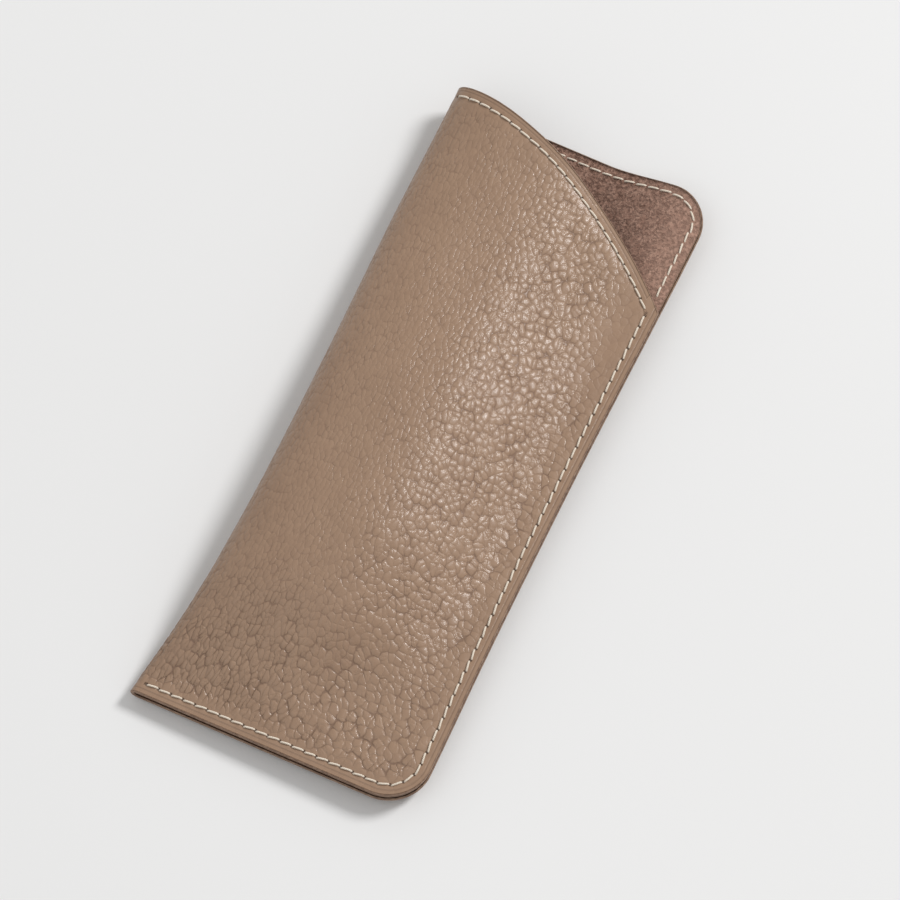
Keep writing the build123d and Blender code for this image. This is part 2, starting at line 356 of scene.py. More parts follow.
def seam_places(x, y, lines):
    """Length along and distance from the nearest of some seam lines, for places in plan."""
    best = np.full(x.shape, FAR)
    along = np.zeros(x.shape)
    across = np.full(x.shape, FAR)
    for places, directions, lengths in lines:
        for chunk in range(0, len(x), CHUNK):
            part = slice(chunk, chunk + CHUNK)
            spots = np.stack([x[part], y[part]], axis=1)
            gaps = ((spots[:, None] - places[None]) ** 2).sum(axis=2)
            near = gaps.argmin(axis=1)
            distance = np.sqrt(gaps[np.arange(len(near)), near])
            offset = spots - places[near]
            direction = directions[near]
            closer = distance < best[part]
            best[part] = np.where(closer, distance, best[part])
            run = lengths[near] + (offset * direction).sum(axis=1)
            side = direction[:, 0] * offset[:, 1] - direction[:, 1] * offset[:, 0]
            sewn = lengths[-1] // STITCH_PITCH * STITCH_PITCH
            run = np.where((run > -HOLE_REACH) & (run < sewn + HOLE_REACH), run, STITCH_PITCH / 2)
            along[part] = np.where(closer, run, along[part])
            across[part] = np.where(closer, side, across[part])
    return along, across


# ---------------------------------------------------------------- meshes of the plies

FACE, EDGE = 0, 1  # a ply's two material slots


def boundary(rows, count):
    """Indices of a grid's rim, in order round it; the grid has count columns of so many rows."""
    bottom = [(i, 0) for i in range(count - 1)]
    right = [(count - 1, j) for j in range(rows - 1)]
    top = [(i, rows - 1) for i in range(count - 1, 0, -1)]
    left = [(0, j) for j in range(rows - 1, 0, -1)]
    return np.array([i * rows + j for i, j in bottom + right + top + left])


def grid_faces(rows, count, first):
    """Quads of a grid, wound so that they face outward."""
    index = first + np.arange(rows * count).reshape(count, rows)
    quads = np.stack([index[:-1, :-1], index[:-1, 1:], index[1:, 1:], index[1:, :-1]], axis=-1)
    return quads.reshape(-1, 4)


def rim_directions(points, normals, rim):
    """Unit vectors that point out of the sheet, level with its face, at each place of its rim."""
    across = np.roll(points[rim], -1, axis=0) - np.roll(points[rim], 1, axis=0)
    out = np.cross(normals[rim], across)
    return out / np.linalg.norm(out, axis=1, keepdims=True)


def ring_faces(rim, count, first):
    """Quads from the seen face's rim over each ring in turn, and the indices of the last ring."""
    quads = []
    inner = rim
    for _ in range(count):
        outer = first + np.arange(len(rim))
        quads.append(np.stack([inner, np.roll(inner, -1), np.roll(outer, -1), outer], axis=1)[:, ::-1])
        inner = outer
        first += len(rim)
    return quads, inner


def join_faces(fine, coarse):
    """Faces between a fine ring and a coarse one, which has a place for every third of the fine one's."""
    faces = []
    for k, corner in enumerate(coarse):
        span = [int(fine[(3 * k + step) % len(fine)]) for step in range(4)]
        faces.append([int(corner), int(coarse[(k + 1) % len(coarse)])] + span[::-1])
    return faces


def ply_mesh(name, us, rows, inset, seen_depth, hidden_depth, rings):
    """A closed folded sheet: a fine face on the side that shows, a rounded rim and a coarse hidden face.

    rings are (how far out, how deep as a share of the thickness) round the rim. Returns the object, u and y
    of every vertex, and how many vertices the face that shows has.
    """
    low = low_end(us, inset)
    high = high_end(us, inset)
    y = low[:, None] + (high - low)[:, None] * np.linspace(0, 1, rows)
    u = np.repeat(us[:, None], rows, axis=1)
    seen, normals = skin(u, y, seen_depth)
    flat = seen.reshape(-1, 3)
    normals = normals.reshape(-1, 3)
    rim = boundary(rows, len(us))
    out = rim_directions(flat, normals, rim)
    thickness = hidden_depth - seen_depth
    hidden, _ = skin(u[::3, ::3], y[::3, ::3], hidden_depth)
    layers = [flat]
    layers += [flat[rim] + out * reach - normals[rim] * depth * thickness for reach, depth in rings]
    layers.append(hidden.reshape(-1, 3))
    coarse = np.arange(rows * len(us)).reshape(len(us), rows)[::3, ::3]
    source = np.concatenate([np.arange(len(flat))] + [rim] * len(rings) + [coarse.reshape(-1)])
    ring_quads, last_ring = ring_faces(rim, len(rings), len(flat))
    first = len(flat) + len(rings) * len(rim)
    hidden_quads = grid_faces(coarse.shape[1], coarse.shape[0], first)[:, ::-1]
    joins = join_faces(last_ring, first + boundary(coarse.shape[1], coarse.shape[0]))
    quads = [grid_faces(rows, len(us), 0)] + ring_quads + [hidden_quads]
    parts = [part.tolist() for part in quads] + [joins]
    kinds = [FACE] + [EDGE] * len(rings) + [FACE, EDGE]
    material_index = [kind for kind, part in zip(kinds, parts) for _ in part]
    faces = [face for part in parts for face in part]
    if thickness < 0:
        faces = [face[::-1] for face in faces]
    piece = mesh_object(name, np.concatenate(layers), faces)
    piece.data.polygons.foreach_set("material_index", material_index)
    return piece, u.reshape(-1)[source], y.reshape(-1)[source], len(flat)


def mesh_object(name, points, faces):
    """A smooth-shaded object in the scene from points in millimetres."""
    mesh = bpy.data.meshes.new(name)
    mesh.from_pydata((points * MM).tolist(), [], faces)
    mesh.polygons.foreach_set("use_smooth", [True] * len(faces))
    piece = bpy.data.objects.new(name, mesh)
    bpy.context.collection.objects.link(piece)
    return piece


def store(mesh, name, kind, values):
    """A named value for every vertex, for the materials and the grain."""
    layer = mesh.attributes.new(name, kind, "POINT")
    layer.data.foreach_set("vector" if kind == "FLOAT_VECTOR" else "value", np.ravel(values))


FINE_PITCH = 1.05  # spacing of the pebbles across the case, beside the fold
BROAD_PITCH = 1.75  # and towards the sewn side
LONG_PITCH = 2.05  # spacing along the case
FULL_GRAIN = 0.17  # grain height from which the painted shade in the creases is at full strength
SOFT_GRAIN = 0.085  # height of the grain beside the fold
BOLDER = 0.08  # what the sewn side adds


def pebble_pitch(u):
    """Spacing of the pebbles across the case: finer beside the fold, broader towards the sewn side."""
    from_sewn = np.minimum(u, FLAT_WIDTH - u)
    return FINE_PITCH + (BROAD_PITCH - FINE_PITCH) * smooth((46 - np.abs(from_sewn - 8)) / 34)


def pattern_places(u, y):
    """Places in the grain's pattern, in pebbles, counted from the middle of the front and from the bottom.

    The pebbles are larger near the bottom seam.
    """
    steps = np.linspace(0, FLAT_WIDTH, 577)
    counted = np.cumsum(1 / pebble_pitch(steps)) * (steps[1] - steps[0])
    middle = np.interp(WIDTH / 2, steps, counted)
    low = smooth((50 - y) / 50)
    across = (np.interp(u, steps, counted) - middle) / (1 + 0.16 * low)
    return np.stack([across, y / (LONG_PITCH * (1 + 0.12 * low)), 0 * u], axis=-1)


def seam_values(piece, u, y, front_lines, back_lines):
    """Stores length along and distance from the nearest seam line for every vertex."""
    spots = sample(POINTS, u, y)
    front = u < FOLD_COLUMN
    along = np.zeros(len(u))
    across = np.full(len(u), FAR)
    for side, lines in ((front, front_lines), (~front, back_lines)):
        along[side], across[side] = seam_places(spots[side, 0], spots[side, 1], lines)
    store(piece.data, "seam", "FLOAT_VECTOR", np.stack([along, across, 0 * u], axis=1))
    return along, across


def grain_strength(u, y, across):
    """Height of the grain: bold low and towards the sewn side, soft at seams and the mouth's low end."""
    from_sewn = np.minimum(u, FLAT_WIDTH - u)
    low = smooth((45 - y) / 40)
    sewn_side = smooth((50 - from_sewn) / 28)
    strength = SOFT_GRAIN + BOLDER * np.maximum(1.6 * low, sewn_side)
    strength *= 1 - 0.6 * smooth((y - 100) / 24) * smooth((20 - u) / 12)
    return strength * (0.12 + 0.88 * smooth((across + 0.2) / 3.4))


# ---------------------------------------------------------------- node helpers


def feed(tree, socket, value):
    """Links an output to a socket, or sets a constant on it."""
    if isinstance(value, bpy.types.NodeSocket):
        tree.links.new(value, socket)
    else:
        socket.default_value = value


def node(tree, kind, settings=None, inputs=None):
    """A node with its settings and inputs."""
    made = tree.nodes.new(kind)
    for name, value in (settings or {}).items():
        setattr(made, name, value)
    for name, value in (inputs or {}).items():
        feed(tree, made.inputs[name], value)
    return made


def maths(tree, operation, a, b=0.0, clamp=False):
    """One sum of two numbers."""
    made = node(tree, "ShaderNodeMath", {"operation": operation, "use_clamp": clamp}, {0: a, 1: b})
    return made.outputs[0]


def vectors(tree, operation, a, b):
    """One sum of two vectors, or of a vector and a number where the operation is SCALE."""
    second = "Scale" if operation == "SCALE" else 1
    return node(tree, "ShaderNodeVectorMath", {"operation": operation}, {0: a, second: b}).outputs["Vector"]


def ramp(tree, value, low, high, start=0.0, end=1.0):
    """A soft step as a value goes from low to high."""
    inputs = {"Value": value, "From Min": low, "From Max": high, "To Min": start, "To Max": end}
    return node(tree, "ShaderNodeMapRange", {"interpolation_type": "SMOOTHSTEP"}, inputs).outputs["Result"]


def noise(tree, place, scale, detail=2.0, roughness=0.5, output="Fac"):
    """Smooth noise over a place."""
    inputs = {"Vector": place, "Scale": scale, "Detail": detail, "Roughness": roughness}
    return node(tree, "ShaderNodeTexNoise", {"noise_dimensions": "3D"}, inputs).outputs[output]


CELL_RANDOMNESS = 0.88


def cells(tree, place, scale, feature, output):
    """Random cells over a flat place."""
    settings = {"voronoi_dimensions": "2D", "feature": feature}
    inputs = {"Vector": place, "Scale": scale, "Randomness": CELL_RANDOMNESS}
    return node(tree, "ShaderNodeTexVoronoi", settings, inputs).outputs[output]


def pebbles(tree, place, scale, groove_width):
    """Round-topped cells with a narrow groove between them, from 0 in the groove to 1 on top."""
    from_middle = maths(tree, "MULTIPLY", cells(tree, place, scale, "F1", "Distance"), 1.3)
    round_top = maths(tree, "SUBTRACT", 1.0, maths(tree, "POWER", from_middle, 2.0), clamp=True)
    from_edge = cells(tree, place, scale, "DISTANCE_TO_EDGE", "Distance")
    groove = ramp(tree, from_edge, 0.0, groove_width, 0.0, 0.34)
    return maths(tree, "ADD", maths(tree, "MULTIPLY", round_top, 0.66), groove)


def grain_field(tree, pattern):
    """The pebbled grain: its height from 0 in a deep crease to 1 on top, and each pebble's own shade."""
    shift = vectors(tree, "SUBTRACT", noise(tree, pattern, 0.7, 1.0, 0.5, "Color"), (0.5, 0.5, 0.5))
    place = vectors(tree, "ADD", pattern, vectors(tree, "SCALE", shift, 1.0))
    pebble = pebbles(tree, place, 1.0, 0.17)
    wrinkle = pebbles(tree, place, 2.1, 0.2)
    broken = ramp(tree, noise(tree, pattern, 0.55, 1.0), 0.35, 0.65)
    depth = ramp(tree, noise(tree, pattern, 0.3, 1.0), 0.3, 0.7, 0.6, 1.0)
    fall = maths(tree, "MULTIPLY", maths(tree, "SUBTRACT", 1.0, pebble), depth)
    dip = maths(tree, "SUBTRACT", 1.0, wrinkle)
    small = maths(tree, "MULTIPLY", dip, maths(tree, "MULTIPLY", broken, 0.3))
    height = maths(tree, "SUBTRACT", maths(tree, "SUBTRACT", 1.0, fall), small, clamp=True)
    return height, cells(tree, place, 1.0, "F1", "Color")


# ---------------------------------------------------------------- grain in the mesh


SKIN_LEVEL = 0.8  # the grain's height that lies on the smooth surface


def grain_modifier(piece):
    """Raises the mesh along its normals by the grain's height times the stored strength, and applies it."""
    tree = bpy.data.node_groups.new("grain_relief", "GeometryNodeTree")
    tree.interface.new_socket("Geometry", in_out="INPUT", socket_type="NodeSocketGeometry")
    tree.interface.new_socket("Geometry", in_out="OUTPUT", socket_type="NodeSocketGeometry")
    start = tree.nodes.new("NodeGroupInput")
    end = tree.nodes.new("NodeGroupOutput")
    stored = "GeometryNodeInputNamedAttribute"
    pattern = node(tree, stored, {"data_type": "FLOAT_VECTOR"}, {"Name": "pattern"})
    strength = node(tree, stored, {"data_type": "FLOAT"}, {"Name": "grain"})
    height, _ = grain_field(tree, pattern.outputs["Attribute"])
    above = maths(tree, "SUBTRACT", height, SKIN_LEVEL)
    rise = maths(tree, "MULTIPLY", above, strength.outputs["Attribute"])
    normal = tree.nodes.new("GeometryNodeInputNormal").outputs["Normal"]
    offset = vectors(tree, "SCALE", normal, maths(tree, "MULTIPLY", rise, MM))
    move = node(tree, "GeometryNodeSetPosition", {}, {"Geometry": start.outputs[0], "Offset": offset})
    tree.links.new(move.outputs["Geometry"], end.inputs[0])
    modifier = piece.modifiers.new("grain_relief", "NODES")
    modifier.node_group = tree
    graph = bpy.context.evaluated_depsgraph_get()
    raised = piece.evaluated_get(graph)
    mesh = bpy.data.meshes.new_from_object(raised, preserve_all_data_layers=True, depsgraph=graph)
    piece.modifiers.clear()
    flat = piece.data
    piece.data = mesh
    bpy.data.meshes.remove(flat)
    bpy.data.node_groups.remove(tree)
    mesh.name = piece.name


def rest_on_floor(mesh):
    """Flattens what would sink below the surface that the case lies on."""
    places = np.zeros(3 * len(mesh.vertices))
    mesh.vertices.foreach_get("co", places)
    places[2::3] = np.maximum(places[2::3], 0.0)
    mesh.vertices.foreach_set("co", places)


# ---------------------------------------------------------------- materials


LEATHER_COLOUR = (0.325, 0.207, 0.135, 1)
LEATHER_DARK = (0.175, 0.102, 0.066, 1)
LEATHER_LIGHT = (0.372, 0.242, 0.161, 1)
EDGE_COLOUR = (0.30, 0.19, 0.127, 1)
SUEDE_COLOUR = (0.335, 0.195, 0.145, 1)
SUEDE_DARK = (0.125, 0.064, 0.045, 1)
SUEDE_LIGHT = (0.48, 0.30, 0.23, 1)
# painted shade inside the needle holes
NEEDLE_HOLE_SHADE = (0.05, 0.028, 0.018, 1)
THREAD_COLOUR = (0.88, 0.80, 0.69, 1)
THREAD_SHADE = (0.70, 0.60, 0.48, 1)
INTERLINING_COLOUR = (0.20, 0.15, 0.12, 1)


def material(name, settings):
    """A new material with its surface shader: the material's tree and the shader node."""
    made = bpy.data.materials.new(name)
    made.use_nodes = True
    shader = made.node_tree.nodes["Principled BSDF"]
    for socket, value in settings.items():
        shader.inputs[socket].default_value = value
    return made, made.node_tree, shader


def blend_colour(tree, share, a, b):
    """A mix of two colours. The colour sockets share their names with others, so they go by number."""
    made = node(tree, "ShaderNodeMix", {"data_type": "RGBA"})
    feed(tree, made.inputs["Factor"], share)
    feed(tree, made.inputs[6], a)
    feed(tree, made.inputs[7], b)
    return made.outputs[2]


def bump(tree, height, distance, strength=1.0, below=None):
    """Relief too fine for the mesh; distance is in metres."""
    inputs = {"Height": height, "Distance": distance, "Strength": strength}
    if below is not None:
        inputs["Normal"] = below
    return node(tree, "ShaderNodeBump", {}, inputs).outputs["Normal"]


def attribute(tree, name, output="Vector"):
    """A value stored in the mesh."""
    return node(tree, "ShaderNodeAttribute", {"attribute_name": name}).outputs[output]


CREASER_OFFSET = 1.45  # the creased line's distance from the seam
RELIEF_DEPTH = 0.0002  # metres of fine relief in the leather's material


def needle_holes(tree):
    """1 in each needle hole, and 1 in the creased line that runs beside the cut edge."""
    split = node(tree, "ShaderNodeSeparateXYZ", {}, {"Vector": attribute(tree, "seam")})
    turn = maths(tree, "FRACT", maths(tree, "DIVIDE", split.outputs["X"], STITCH_PITCH))
    nearer = maths(tree, "MINIMUM", turn, maths(tree, "SUBTRACT", 1.0, turn))
    from_hole = maths(tree, "MULTIPLY", nearer, STITCH_PITCH)
    across = maths(tree, "ABSOLUTE", split.outputs["Y"])
    square = maths(tree, "ADD", maths(tree, "POWER", from_hole, 2.0), maths(tree, "POWER", across, 2.0))
    hole = ramp(tree, maths(tree, "SQRT", square), 0.2, 0.5, 1.0, 0.0)
    from_line = maths(tree, "ABSOLUTE", maths(tree, "ADD", split.outputs["Y"], CREASER_OFFSET))
    return hole, ramp(tree, from_line, 0.05, 0.3, 1.0, 0.0)


def leather_material():
    """Pebbled calf leather: painted shade in the creases, a thin glossy finish on the pebbles, fine pores."""
    gloss = {"Specular IOR Level": 0.36, "Coat Weight": 0.3, "Coat Roughness": 0.15, "Coat IOR": 1.5}
    made, tree, shader = material("pebbled_leather", gloss)
    pattern = attribute(tree, "pattern")
    height, own = grain_field(tree, pattern)
    hole, creaser = needle_holes(tree)
    strength = maths(tree, "DIVIDE", attribute(tree, "grain", "Fac"), FULL_GRAIN)
    # painted shade: the creases between the pebbles are darkened towards LEATHER_DARK, as if shade fell in
    # them
    painted_crease_shade = maths(tree, "MULTIPLY", ramp(tree, height, 0.08, 0.58, 1.0, 0.0), strength, clamp=True)
    cloud = ramp(tree, noise(tree, pattern, 0.09, 3.0), 0.35, 0.68)
    own_shade = node(tree, "ShaderNodeSeparateColor", {}, {"Color": own}).outputs["Red"]
    tone = blend_colour(tree, maths(tree, "MULTIPLY", cloud, 0.35), LEATHER_COLOUR, LEATHER_LIGHT)
    tone = blend_colour(tree, maths(tree, "MULTIPLY", own_shade, 0.16), tone, LEATHER_DARK)
    tone = blend_colour(tree, maths(tree, "MULTIPLY", painted_crease_shade, 0.66), tone, LEATHER_DARK)
    tone = blend_colour(tree, maths(tree, "MULTIPLY", creaser, 0.3), tone, LEATHER_DARK)
    # painted shade: each needle hole is coloured almost black for the shade inside it
    tone = blend_colour(tree, maths(tree, "MULTIPLY", hole, 0.8), tone, NEEDLE_HOLE_SHADE)
    feed(tree, shader.inputs["Base Color"], tone)
    pores = noise(tree, pattern, 9.0, 3.0, 0.6)
    rough = ramp(tree, height, 0.1, 0.9, 0.62, 0.38)
    rough = maths(tree, "ADD", rough, maths(tree, "MULTIPLY", pores, 0.08))
    feed(tree, shader.inputs["Roughness"], rough)
    relief = maths(tree, "MULTIPLY", height, strength)
    relief = maths(tree, "ADD", relief, maths(tree, "MULTIPLY", pores, 0.14))
    relief = maths(tree, "SUBTRACT", relief, maths(tree, "MULTIPLY", hole, 1.2))
    relief = maths(tree, "SUBTRACT", relief, maths(tree, "MULTIPLY", creaser, 0.4))
    normal = bump(tree, relief, RELIEF_DEPTH)
    feed(tree, shader.inputs["Normal"], normal)
    feed(tree, shader.inputs["Coat Normal"], normal)
    return made


def edge_material():
    """Edge paint: smooth, slightly darker than the leather, and a little uneven."""
    made, tree, shader = material("painted_edge", {"Specular IOR Level": 0.5})
    place = node(tree, "ShaderNodeTexCoord").outputs["Object"]
    uneven = noise(tree, place, 900.0, 3.0)
    tone = blend_colour(tree, ramp(tree, uneven, 0.3, 0.7), EDGE_COLOUR, LEATHER_DARK)
    feed(tree, shader.inputs["Base Color"], tone)
    feed(tree, shader.inputs["Roughness"], ramp(tree, uneven, 0.2, 0.8, 0.42, 0.58))
    feed(tree, shader.inputs["Normal"], bump(tree, uneven, 0.00008))
    return made


def suede_material():
    """Suede: a short nap in patches, dark flecks between the fibres, and painted light that makes it lighter
    at the sewn side, away from the shade under the lip.
    """
    nap = {"Specular IOR Level": 0.2, "Sheen Weight": 0.35, "Sheen Roughness": 0.45}
    made, tree, shader = material("suede_nap", nap)
    shader.inputs["Sheen Tint"].default_value = (0.85, 0.66, 0.56, 1)
    place = node(tree, "ShaderNodeTexCoord").outputs["Object"]
    patches = noise(tree, place, 420.0, 5.0, 0.7)
    fibres = noise(tree, place, 1700.0, 4.0, 0.7)
    flecks = ramp(tree, noise(tree, place, 1150.0, 4.0, 0.7), 0.46, 0.64)
    tone = blend_colour(tree, ramp(tree, patches, 0.36, 0.66), SUEDE_COLOUR, SUEDE_LIGHT)
    tone = blend_colour(tree, maths(tree, "MULTIPLY", flecks, 0.8), tone, SUEDE_DARK)
    tone = blend_colour(tree, ramp(tree, fibres, 0.4, 0.66, 0.6, 0.0), tone, SUEDE_DARK)
    # painted light and shade: the suede is darker towards the fold under the lip and lighter towards the sewn
    # side
    sewn_side_painted_light = node(tree, "ShaderNodeSeparateXYZ", {}, {"Vector": place}).outputs["X"]
    tone = blend_colour(tree, ramp(tree, sewn_side_painted_light, 0.018, 0.034, 0.0, 0.4), tone, SUEDE_LIGHT)
    feed(tree, shader.inputs["Base Color"], tone)
    shader.inputs["Roughness"].default_value = 0.92
    relief = maths(tree, "ADD", maths(tree, "MULTIPLY", fibres, 0.5), maths(tree, "MULTIPLY", patches, 0.9))
    relief = maths(tree, "SUBTRACT", relief, maths(tree, "MULTIPLY", flecks, 0.5))
    feed(tree, shader.inputs["Normal"], bump(tree, relief, 0.00028))
    return made


def interlining_material():
    """Non-woven reinforcement: dull, with a web of fibres."""
    made, tree, shader = material("interlining_web", {"Roughness": 0.9, "Specular IOR Level": 0.2})
    place = node(tree, "ShaderNodeTexCoord").outputs["Object"]
    web = noise(tree, place, 1500.0, 4.0, 0.7)
    feed(tree, shader.inputs["Base Color"], blend_colour(tree, web, INTERLINING_COLOUR, EDGE_COLOUR))
    feed(tree, shader.inputs["Normal"], bump(tree, web, 0.00006))
    return made


def thread_material():
    """Bonded sewing thread: cream, with the shade of its fibres."""
    soft = {"Roughness": 0.6, "Sheen Weight": 0.3, "Specular IOR Level": 0.4}
    made, tree, shader = material("cream_thread", soft)
    place = node(tree, "ShaderNodeTexCoord").outputs["Object"]
    fibres = noise(tree, place, 6000.0, 3.0, 0.6)
    tone = blend_colour(tree, ramp(tree, fibres, 0.3, 0.7), THREAD_SHADE, THREAD_COLOUR)
    feed(tree, shader.inputs["Base Color"], tone)
    feed(tree, shader.inputs["Normal"], bump(tree, fibres, 0.00004))
    return made


# ---------------------------------------------------------------- the plies

# How far out and how deep each ring of a rounded rim lies
LEATHER_RIM = [(0.12, 0.03), (0.22, 0.14), (0.27, 0.32), (0.27, 0.66), (0.2, 0.88)]
SUEDE_RIM = [(0.08, 0.12), (0.12, 0.4), (0.12, 0.7)]
INTERLINING_RIM = [(0.05, 0.3), (0.05, 0.7)]

# How far each ply's face stops short of the cut line, where its rim begins
LEATHER_INSET = 0.27
SUEDE_INSET = 0.55
INTERLINING_INSET = 0.6

# Mesh steps across the blank, and rows along it in a count that threes divide
LEATHER_FRONT_STEP = 0.3
LEATHER_BACK_STEP = 1.1
LEATHER_ROWS = 450
SUEDE_STEP = 0.8
SUEDE_ROWS = 210
INTERLINING_STEP = 2.0
INTERLINING_ROWS = 90
COARSER = 1

# The groove that the stitches pull into the leather
GROOVE_DEPTH = 0.07
GROOVE_WIDTH = 0.8
DIMPLE_DEPTH = 0.14
DIMPLE_SPREAD = 0.3  # square of the dimple's width


def finish_ply(piece, materials, replaced):
    """Materials, body and the CAD node that a ply stands for."""
    for made in materials:
        piece.data.materials.append(made)
    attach(piece, "root")
    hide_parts(replaced)


def make_leather():
    """Outer ply, with the grain and the groove of the seams in its mesh."""
    us = columns(LEATHER_INSET, LEATHER_FRONT_STEP * COARSER, LEATHER_BACK_STEP * COARSER, corner_steps=20)
    rows = LEATHER_ROWS // COARSER + 1
    piece, u, y, seen = ply_mesh("leather_outer", us, rows, LEATHER_INSET, 0.0, LEATHER, LEATHER_RIM)
    along, across = seam_values(piece, u, y, [CLOSING, MOUTH], [CLOSING, TAB])
    strength = grain_strength(u, y, across)
    strength[seen:] = 0.0
    store(piece.data, "pattern", "FLOAT_VECTOR", pattern_places(u, y))
    store(piece.data, "grain", "FLOAT", strength)
    press_seams(piece.data, u, y, along, across, seen)
    grain_modifier(piece)
    rest_on_floor(piece.data)
    finish_ply(piece, [leather_material(), edge_material()], "outer_leather")


def press_seams(mesh, u, y, along, across, seen):
    """The stitches pull a shallow groove into the leather, deepest at the needle holes."""
    _, normals = skin(u, y, 0.0)
    turn = np.abs((along / STITCH_PITCH + 0.5) % 1 - 0.5) * STITCH_PITCH
    groove = GROOVE_DEPTH * np.exp(-((across / GROOVE_WIDTH) ** 2))
    groove = groove + DIMPLE_DEPTH * np.exp(-(across**2 + turn**2) / DIMPLE_SPREAD)
    places = np.zeros(3 * len(mesh.vertices))
    mesh.vertices.foreach_get("co", places)
    places = places.reshape(-1, 3)
    places[:seen] -= normals[:seen] * groove[:seen, None] * MM
    mesh.vertices.foreach_set("co", places.ravel())


def make_suede():
    """Lining, seen from inside the case and on the tab."""
    us = columns(SUEDE_INSET, SUEDE_STEP * COARSER, SUEDE_STEP * COARSER, corner_steps=19)
    rows = SUEDE_ROWS // COARSER + 1
    piece = ply_mesh("suede_inner", us, rows, SUEDE_INSET, INNER_DEPTH, SUEDE_DEPTH, SUEDE_RIM)[0]
    finish_ply(piece, [suede_material(), bpy.data.materials["painted_edge"]], "suede_lining")


def make_interlining():
    """Reinforcement between the leather and the suede."""
    us = columns(INTERLINING_INSET, INTERLINING_STEP, INTERLINING_STEP, corner_steps=13)
    rows = INTERLINING_ROWS + 1
    depths = (INTERLINING_DEPTH, SUEDE_DEPTH - PLY_GAP)
    piece = ply_mesh("interlining_web", us, rows, INTERLINING_INSET, *depths, INTERLINING_RIM)[0]
    materials = [interlining_material(), bpy.data.materials["painted_edge"]]
    finish_ply(piece, materials, "interlining")


# ---------------------------------------------------------------- the threads

STITCH_SPAN = 2.75  # from hole to hole, as the thread lies
SPAN_SPREAD = 0.04  # share by which the spans differ
SIDE_SPREAD = 0.05  # how far stitches stray to one side
STITCH_LIFT = 0.19  # height of a stitch's middle over the face
STITCH_DIVE = 0.7  # how far its ends go down
TACK_SHIFT = 0.38  # how far stitches sewn back over the seam lie to its side
TACK_LIFT = 0.16
STRAND_RADIUS = 0.15
STRAND_OFFSET = 0.125
TWISTS = 2.3
PATH_STEPS = 12
SIDES = 6


def column_at(x, y, front):
    """The blank's column over a place in plan, on the front or the back of the case."""
    found = np.zeros(len(x))
    across = np.arange(POINTS.shape[1])
    for k, (px, py) in enumerate(zip(x, y)):
        row = sample(POINTS, across * COLUMN_STEP, np.full(len(across), py))[:, 0]
        fold = int(np.argmin(row))
        if front:
            found[k] = np.interp(px, row[: fold + 1][::-1], np.arange(fold, -1, -1)) * COLUMN_STEP
        else:
            found[k] = np.interp(px, row[fold:], np.arange(fold, len(row))) * COLUMN_STEP
    return found


def stitch_middles(line, tacks):
    """Places of the stitches along a seam line; tacks are extra ones sewn back over the line's far end."""
    length = line[2][-1]
    middles = (np.arange(int(length // STITCH_PITCH)) + 0.5) * STITCH_PITCH
    back = length - (np.arange(tacks) + 0.9) * STITCH_PITCH * 0.97
    return np.concatenate([middles, back]), np.concatenate([np.zeros(len(middles)), np.ones(tacks)])


def stitch_paths(line, front, depth, outward, slant, tacks, seed):
    """Middle lines of the stitches: each leaves a hole, lies along the face and goes into the next."""
    places, directions, lengths = line
    middles, tacked = stitch_middles(line, tacks)
    chance = np.random.default_rng(seed)
    share = np.linspace(-0.5, 0.5, PATH_STEPS + 1)
    spans = STITCH_SPAN * (1 + chance.uniform(-SPAN_SPREAD, SPAN_SPREAD, len(middles)))
    run = middles[:, None] + share * spans[:, None]
    aside = slant * share[None] * (1 + chance.uniform(-0.5, 0.5, (len(middles), 1)))
    aside = aside + chance.uniform(-SIDE_SPREAD, SIDE_SPREAD, (len(middles), 1))
    aside = aside + TACK_SHIFT * tacked[:, None]
    x = np.interp(run, lengths, places[:, 0])
    y = np.interp(run, lengths, places[:, 1])
    along_x = np.interp(run, lengths, directions[:, 0])
    along_y = np.interp(run, lengths, directions[:, 1])
    x = (x - aside * along_y).ravel()
    y = (y + aside * along_x).ravel() + LENGTH / 2
    u = column_at(x, y, front)
    spots, normals = skin(u, y, depth)
    normals = normals * outward
    lift = STITCH_LIFT - STITCH_DIVE * np.abs(2 * share) ** 5
    lift = np.tile(lift, len(middles)) + TACK_LIFT * np.repeat(tacked, PATH_STEPS + 1)
    spots = spots + normals * lift[:, None]
    shape = (len(middles), PATH_STEPS + 1, 3)
    return spots.reshape(shape), normals.reshape(shape)


def strand_tubes(spots, normals):
    """Three twisted strands along each stitch, as vertices and faces."""
    tangents = np.gradient(spots, axis=1)
    tangents /= np.linalg.norm(tangents, axis=2, keepdims=True)
    sideways = np.cross(tangents, normals)
    sideways /= np.linalg.norm(sideways, axis=2, keepdims=True)
    upward = np.cross(sideways, tangents)
    share = np.linspace(0, 1, spots.shape[1])
    sides = 2 * math.pi * np.arange(SIDES) / SIDES
    vertices = []
    faces = []
    for strand in range(3):
        angle = 2 * math.pi * (TWISTS * share + strand / 3)
        turn = np.cos(angle)[None, :, None] * sideways + np.sin(angle)[None, :, None] * upward
        middle = spots + STRAND_OFFSET * turn
        for stitch in range(len(spots)):
            ring = np.cos(sides)[None, :, None] * sideways[stitch][:, None]
            ring = ring + np.sin(sides)[None, :, None] * upward[stitch][:, None]
            first = len(vertices) * spots.shape[1] * SIDES
            vertices.append((middle[stitch][:, None] + STRAND_RADIUS * ring).reshape(-1, 3))
            faces += tube_faces(first, spots.shape[1])
    return np.concatenate(vertices), faces


def tube_faces(first, steps):
    """Faces of one closed tube."""
    faces = []
    for step in range(steps - 1):
        for side in range(SIDES):
            a = first + step * SIDES + side
            b = first + step * SIDES + (side + 1) % SIDES
            faces.append([a, b, b + SIDES, a + SIDES])
    last = first + (steps - 1) * SIDES
    faces.append(list(range(first + SIDES - 1, first - 1, -1)))
    faces.append(list(range(last, last + SIDES)))
    return faces


